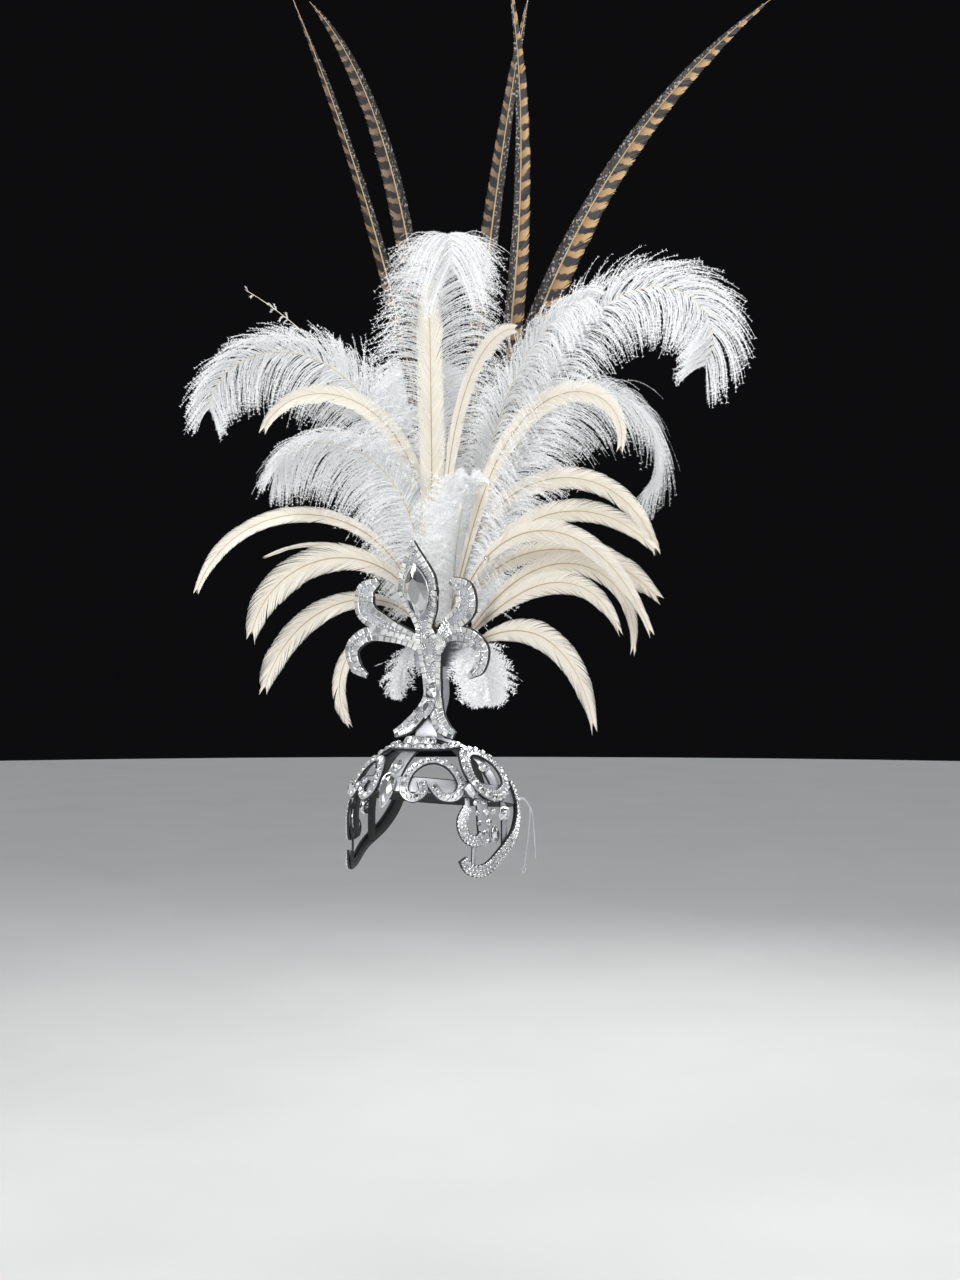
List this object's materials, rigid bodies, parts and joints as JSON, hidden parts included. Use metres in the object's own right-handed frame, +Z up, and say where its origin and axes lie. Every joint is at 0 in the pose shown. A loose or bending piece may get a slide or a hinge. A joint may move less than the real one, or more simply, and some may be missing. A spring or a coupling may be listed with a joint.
{
  "type": "showgirl feather headdress",
  "caption": "Showgirl headdress: an openwork silver cap with rhinestone scrolls carries a fleur-de-lis plaque and a tall fan of pheasant, ostrich, coque and marabou feathers.",
  "frame": {"origin": "middle of the head hollow, level with the brow, where the wearer's head sits", "axes": "+Z up along the feathers, the wearer faces -Y, +X is the wearer's left"},
  "size_m": [0.6093, 0.4208, 0.9432],
  "materials": {
    "silver": "silver foil leatherette with black edges",
    "crystal": "clear foil-backed cut stones in silver settings",
    "ostrich": "white ostrich barbs",
    "marabou": "white marabou down",
    "coque": "ivory cock feather, satin",
    "pheasant": "tan feather with black bars",
    "cord": "silver braided cord"
  },
  "bodies": {
    "root": {"cap_cage": "silver", "front_scroll_left": "crystal", "front_scroll_right": "crystal", "loop_scroll_left": "crystal", "loop_scroll_right": "crystal", "temple_scroll_left": "crystal", "temple_scroll_right": "crystal", "ear_scroll_left": "crystal", "ear_scroll_right": "crystal", "crown_row": "crystal", "brow_drop": "crystal", "baguette_stone_left": "crystal", "baguette_stone_right": "crystal", "oval_stone_left": "crystal", "oval_stone_right": "crystal", "round_stone_left": "crystal", "round_stone_right": "crystal", "kite_stone_left": "crystal", "kite_stone_right": "crystal", "fleur_plaque": "silver", "fleur_navette": "crystal", "fleur_tip_stone": "crystal", "stem_frame_stone": "crystal", "stem_pear": "crystal", "base_cluster": "crystal", "plume_post": "silver", "pheasant_1": "pheasant", "pheasant_2": "pheasant", "pheasant_3": "pheasant", "pheasant_4": "pheasant", "pheasant_5": "pheasant", "coque_01": "coque", "coque_02": "coque", "coque_03": "coque", "coque_04": "coque", "coque_05": "coque", "coque_06": "coque", "coque_07": "coque", "coque_08": "coque", "coque_09": "coque", "coque_10": "coque", "coque_11": "coque", "coque_12": "coque", "coque_13": "coque", "coque_14": "coque", "coque_15": "coque", "coque_16": "coque", "marabou_upper": "marabou", "marabou_left": "marabou", "marabou_right": "marabou", "ostrich_front": "ostrich", "ostrich_right": "ostrich", "ostrich_left": "ostrich", "ostrich_high": "ostrich", "ostrich_low": "ostrich", "ostrich_centre": "ostrich", "ostrich_side": "ostrich", "ostrich_back": "ostrich", "tie_cord_long": "cord", "tie_cord_short": "cord"}
  },
  "joints": []
}
